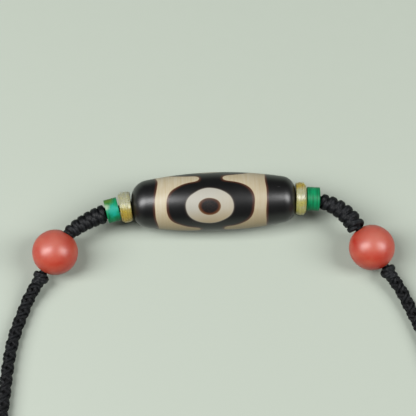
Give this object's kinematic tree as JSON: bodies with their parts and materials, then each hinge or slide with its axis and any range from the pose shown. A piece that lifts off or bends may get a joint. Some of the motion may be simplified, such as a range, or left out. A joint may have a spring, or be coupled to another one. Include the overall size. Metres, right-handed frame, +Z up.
{
  "type": "dzi bead necklace",
  "caption": "Necklace of a long banded agate bead between yellow rings, green drums, knotted cord and coral beads, on a braided black cord tied at the back.",
  "frame": {"origin": "under the middle of the whole loop, on the surface that it lies on", "axes": "+Y along the loop's length, towards the long agate bead, +X across it, +Z up"},
  "size_m": [0.118, 0.243, 0.0136],
  "materials": {
    "agate": "polished black and cream agate with a traditional eye pattern",
    "yellow_stone": "polished, translucent",
    "green_stone": "satin, finely turned",
    "coral": "satin polish",
    "cord": "waxed, knotted and braided"
  },
  "bodies": {
    "root": {"dzi_bead": "agate", "ring_left": "yellow_stone", "ring_right": "yellow_stone", "drum_left": "green_stone", "drum_right": "green_stone", "knot_row_left": "cord", "knot_row_right": "cord", "coral_left": "coral", "coral_right": "coral", "stop_knot_left": "cord", "stop_knot_right": "cord", "thread": "cord", "braid_left": "cord", "braid_right": "cord", "closing_knot": "cord"}
  },
  "joints": []
}
